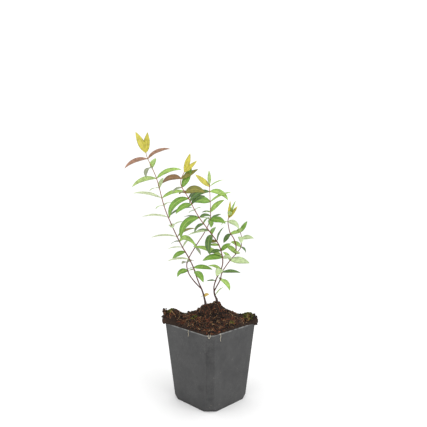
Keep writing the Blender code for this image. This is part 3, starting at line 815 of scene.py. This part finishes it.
RIGHT_LEAVES = (
    (18, (355, CURL, 21, 6.5, 60, "light"), (265, ARCH, 12, 5, 0, "mid")),
    (28, (0, FLAT, 25, 5, 55, "dark"), (150, ARCH, 16, 7, 30, "pale")),
    (48, (15, FLAT, 27, 9.5, 66, "pale"), (150, ARCH, 16, 7, 40, "light")),
    (60, (175, ARCH, 19, 7.5, 60, "light"), (100, ARCH, 14, 7, 0, "light")),
    (72, (0, CURL, 11, 4.5, 35, "dark"), (170, ARCH, 16, 7, 50, "light")),
    (83, (5, ARCH, 17, 7, 50, "pale"), (95, HANG, 26, 9, 0, "pale")),
    (92, (0, RISE, 18, 7, 50, "mid"), (180, ARCH, 16, 7, 40, "light"), (90, FLAT, 14, 7, 0, "light"),
     (270, FLAT, 14, 7, 0, "light")),
)
INNER_LEAVES = (
    (30, (185, LOW, 17, 7, 55, "dark")),
    (48, (180, CURL, 11, 3.5, 20, "light"), (25, CURL, 19, 8, 50, "pale")),
    (53, (180, UP, 24, 5.5, 45, "tip"), (0, SPREAD, 20, 5.5, 50, "tip")),
    (56, (300, UP, 22, 5, 0, "light"), (100, STEEP, 16, 6, 0, "light")),
)
FOOT_LEAVES_LEFT = ((11.5, (20, ARCH, 8, 6, 30, "yellow"), (180, ARCH, 5, 4, 0, "grey")),)
FOOT_LEAVES_RIGHT = ((8, (0, FLAT, 17, 4.5, 10, "light")),)

# Each tint: the colour of the blade, of its midrib, and of its underside
TINTS = {
    "tip": ((186, 178, 62), (206, 190, 96), (190, 180, 100)),
    "bronze": ((112, 86, 50), (158, 116, 82), (168, 128, 108)),
    # Painted light: green leaves painted pale where the strong light washes them out
    "pale": ((176, 196, 142), (206, 216, 176), (196, 208, 166)),
    "light": ((142, 178, 80), (186, 204, 120), (170, 194, 118)),
    "mid": ((104, 146, 48), (160, 186, 92), (148, 176, 96)),
    # Painted shade: green leaves painted dark where they lie in shadow
    "dark": ((70, 104, 42), (126, 150, 76), (112, 140, 78)),
    "olive": ((112, 112, 40), (156, 146, 70), (142, 146, 82)),
    "grey": ((130, 140, 110), (160, 166, 132), (156, 164, 134)),
    "yellow": ((200, 170, 80), (214, 190, 110), (206, 184, 110)),
}
LEAF_GLOSS = 0.45
UPPER_ROUGHNESS = 0.42
UNDER_ROUGHNESS = 0.62
PALER, DARKER = 1.28, 0.74
VEINS_ALONG, VEINS_SLANT = 62, 46
VEIN_SINK = -1.2
MIDRIB_EDGE = (0.022, 0.055)
MARGIN_EDGE = (0.44, 0.5)


def leaf_finish(name, blade, rib, roughness):
    """Leaf skin: a paler midrib and faint side veins, mottled, a little paler at the margin too."""
    finish, tree, shader, places = start_finish(name, roughness, LEAF_GLOSS)
    spread_out = split(tree, places.outputs["UV"])
    off_rib = reckon(tree, "ABSOLUTE", reckon(tree, "SUBTRACT", spread_out["X"], 0.5))
    clouds = mottle(tree, places, 260, 5, 0.6)
    darker, paler = (tuple(value * share for value in blade[:3]) + (1,) for share in (DARKER, PALER))
    shade = blend_colours(tree, between(tree, clouds, 0.35, 0.68), darker, paler)
    slant = reckon(tree, "SUBTRACT", reckon(tree, "MULTIPLY", spread_out["Y"], VEINS_ALONG),
                   reckon(tree, "MULTIPLY", off_rib, VEINS_SLANT))
    veins = between(tree, reckon(tree, "SINE", slant), 0.80, 1.0, 0.0, 0.30)
    midrib = between(tree, off_rib, *MIDRIB_EDGE, 0.85, 0.0)
    margin = between(tree, off_rib, *MARGIN_EDGE, 0.0, 0.35)
    for share in (veins, midrib, margin):
        shade = blend_colours(tree, share, shade, rib)
    tree.links.new(shade, shader.inputs["Base Color"])
    sunk = reckon(tree, "MULTIPLY", veins, VEIN_SINK)
    relief(tree, shader, reckon(tree, "ADD", sunk, clouds), 0.00012, 0.8)
    return finish


leaf_finishes = []
tint_numbers = {}
for tint, (blade, rib, under) in TINTS.items():
    tint_numbers[tint] = len(leaf_finishes)
    for side, colour, roughness in (("", blade, UPPER_ROUGHNESS), ("_under", under, UNDER_ROUGHNESS)):
        leaf_finishes.append(leaf_finish("leaf_" + tint + side, linear(*colour), linear(*rib), roughness))

LEAF_STEPS = 16
STALK = 0.8 * MM
ACROSS = (-1.0, -0.72, -0.40, -0.13, 0.0, 0.13, 0.40, 0.72, 1.0)
FACE_THE_SKY = 0.35
WIDEST_BELOW_MIDDLE = 0.82
FULLNESS = 0.85
BLADE_THICK = 0.13 * MM
WAVE = 0.06
FOLD, FOLD_EASED = 0.16, 0.10
RIB_SINK, RIB_WIDE, RIB_BELOW = 0.05, 0.12, 1.6
NEXT_IN_PAIR = 3.7


def unit(vector):
    """The vector brought to length one."""
    return vector / np.linalg.norm(vector)


def leaf_frames(base, shoot, azimuth, habit, length, tilt):
    """Points on the midrib with the leaf's direction, sideways and upper-face vectors at each."""
    spread, droop = (math.radians(angle) for angle in habit)
    a = math.radians(azimuth)
    outward = np.array([math.cos(a), -math.sin(a), 0])
    outward = unit(outward - shoot * np.dot(outward, shoot))
    ahead = shoot * math.cos(spread) + outward * math.sin(spread)
    up = np.array([0, 0, 1.0])
    face = unit(shoot - ahead * np.dot(shoot, ahead) + FACE_THE_SKY * (up - ahead * np.dot(up, ahead)))
    beside = face
    bend = droop / LEAF_STEPS
    point = np.array(base)
    frames = []
    for k in range(LEAF_STEPS + 1):
        upper = face
        if tilt:
            front = unit(ahead * ahead[1] - np.array([0, 1.0, 0]))
            across = np.cross(front, ahead)
            beside = across if np.dot(across, beside) > 0 else -across
            upper = front * math.sin(math.radians(tilt)) + beside * math.cos(math.radians(tilt))
        frames.append((point.copy(), np.cross(ahead, upper), upper))
        following = ahead * math.cos(bend) - face * math.sin(bend)
        face = face * math.cos(bend) + ahead * math.sin(bend)
        point = point + unit(ahead + following) * length / LEAF_STEPS
        ahead = following
    return frames


def leaf_width(t, breadth):
    """Half the breadth at a share of the leaf's length."""
    return max(0.5 * breadth * math.sin(math.pi * t**WIDEST_BELOW_MIDDLE) ** FULLNESS, 0.5 * STALK)


def add_leaf(bm, uv, line, mark, row, seed):
    """A thin closed blade, folded a little along its sunken midrib, with a slightly wavy margin."""
    azimuth, habit, length, breadth, tilt, tint = row
    length, breadth = length * MM, breadth * MM
    base, shoot = point_at(line, mark)
    frames = leaf_frames(base, shoot, azimuth, habit, length, tilt)
    upper, lower = [], []
    for k, (point, side, face) in enumerate(frames[:-1]):
        t = k / LEAF_STEPS
        wide = leaf_width(t, breadth)
        top, under = [], []
        for s in ACROSS:
            wave = WAVE * wide * noise.noise(Vector((t * 5, s * 1.5, seed))) * abs(s)
            fold = FOLD * wide * abs(s) ** 1.4 - FOLD_EASED * wide * abs(s) ** 4 + wave * 2
            rib = RIB_SINK * wide * math.exp(-(s / RIB_WIDE) ** 2)
            place = point + side * wide * s + face * (fold - rib)
            half = BLADE_THICK * (1 - s * s) ** 0.5
            top.append(bm.verts.new(place + face * half))
            under.append(top[-1] if abs(s) == 1 else bm.verts.new(place - face * (half + RIB_BELOW * rib)))
        upper.append(top)
        lower.append(under)
    tip = bm.verts.new(frames[-1][0])
    number = tint_numbers[tint]

    def cover(points, places, index):
        """One small face, with its corners' places on the leaf's pattern."""
        face = bm.faces.new(points)
        face.material_index = index
        for corner, (u, v) in zip(face.loops, places):
            corner[uv].uv = (u, v)

    last = len(ACROSS) - 1
    for rows, index in ((upper, number), (lower, number + 1)):
        for k in range(LEAF_STEPS - 1):
            for i in range(last):
                u0, u1 = (ACROSS[i] + 1) / 2, (ACROSS[i + 1] + 1) / 2
                v0, v1 = k / LEAF_STEPS, (k + 1) / LEAF_STEPS
                cover((rows[k][i], rows[k][i + 1], rows[k + 1][i + 1], rows[k + 1][i]),
                      ((u0, v0), (u1, v0), (u1, v1), (u0, v1)), index)
        for i in range(last):
            u0, u1 = (ACROSS[i] + 1) / 2, (ACROSS[i + 1] + 1) / 2
            v0 = (LEAF_STEPS - 1) / LEAF_STEPS
            cover((rows[-1][i], rows[-1][i + 1], tip), ((u0, v0), (u1, v0), (0.5, 1)), index)
    cover([upper[0][i] for i in range(last + 1)] + [lower[0][i] for i in range(last - 1, 0, -1)],
          [(0.5, 0)] * (2 * last), number)


# Each shoot: its line, where its twig starts (mm), its leaves, those at its foot, and its solids
SHOOTS = (
    ("left", left, 20, LEFT_LEAVES, (stem_left, FOOT_LEAVES_LEFT),
     ("foliage_left_low", "foliage_left_middle", "foliage_left_top")),
    ("rear", rear, 28, REAR_LEAVES, (), ("foliage_rear_low", "foliage_rear_top")),
    ("middle", middle, 10, MIDDLE_LEAVES, (stem_right, FOOT_LEAVES_RIGHT),
     ("foliage_middle_low", "foliage_middle_high", "foliage_middle_top")),
    ("right", right, 14, RIGHT_LEAVES, (), ("foliage_right_low", "foliage_right_top")),
    ("inner", inner, 0, INNER_LEAVES, (), ("foliage_inner",)),
)
for name, line, _, table, feet, nodes in SHOOTS:
    leaves = bmesh.new()
    uv = leaves.loops.layers.uv.new("UVMap")
    for owner, rows in ((line, table), feet or (line, ())):
        for distance, *pair in rows:
            for number, row in enumerate(pair):
                add_leaf(leaves, uv, owner, distance * MM, row, distance + number * NEXT_IN_PAIR)
    link_piece("leaves_" + name, leaves, leaf_finishes, nodes)

# The twigs. The thin upper stretch of each of the five shoots, of the same young bark as the boughs they
# grow on, tapering to the last pair of leaves and swollen a little where each pair stands.
TWIG_PAST_LEAVES = 1
TWIG_SIDES = 10

for name, line, start, table, _, nodes in SHOOTS:
    end = min(distances(line)[-1], (table[-1][0] + TWIG_PAST_LEAVES) * MM)
    pairs = [row[0] * MM for row in table]
    twig = bmesh.new()
    bark_limb(twig, line, start * MM, end, shoot_radius(line), pairs, sides=TWIG_SIDES)
    link_piece("twig_" + name, twig, [bark_finish], nodes)
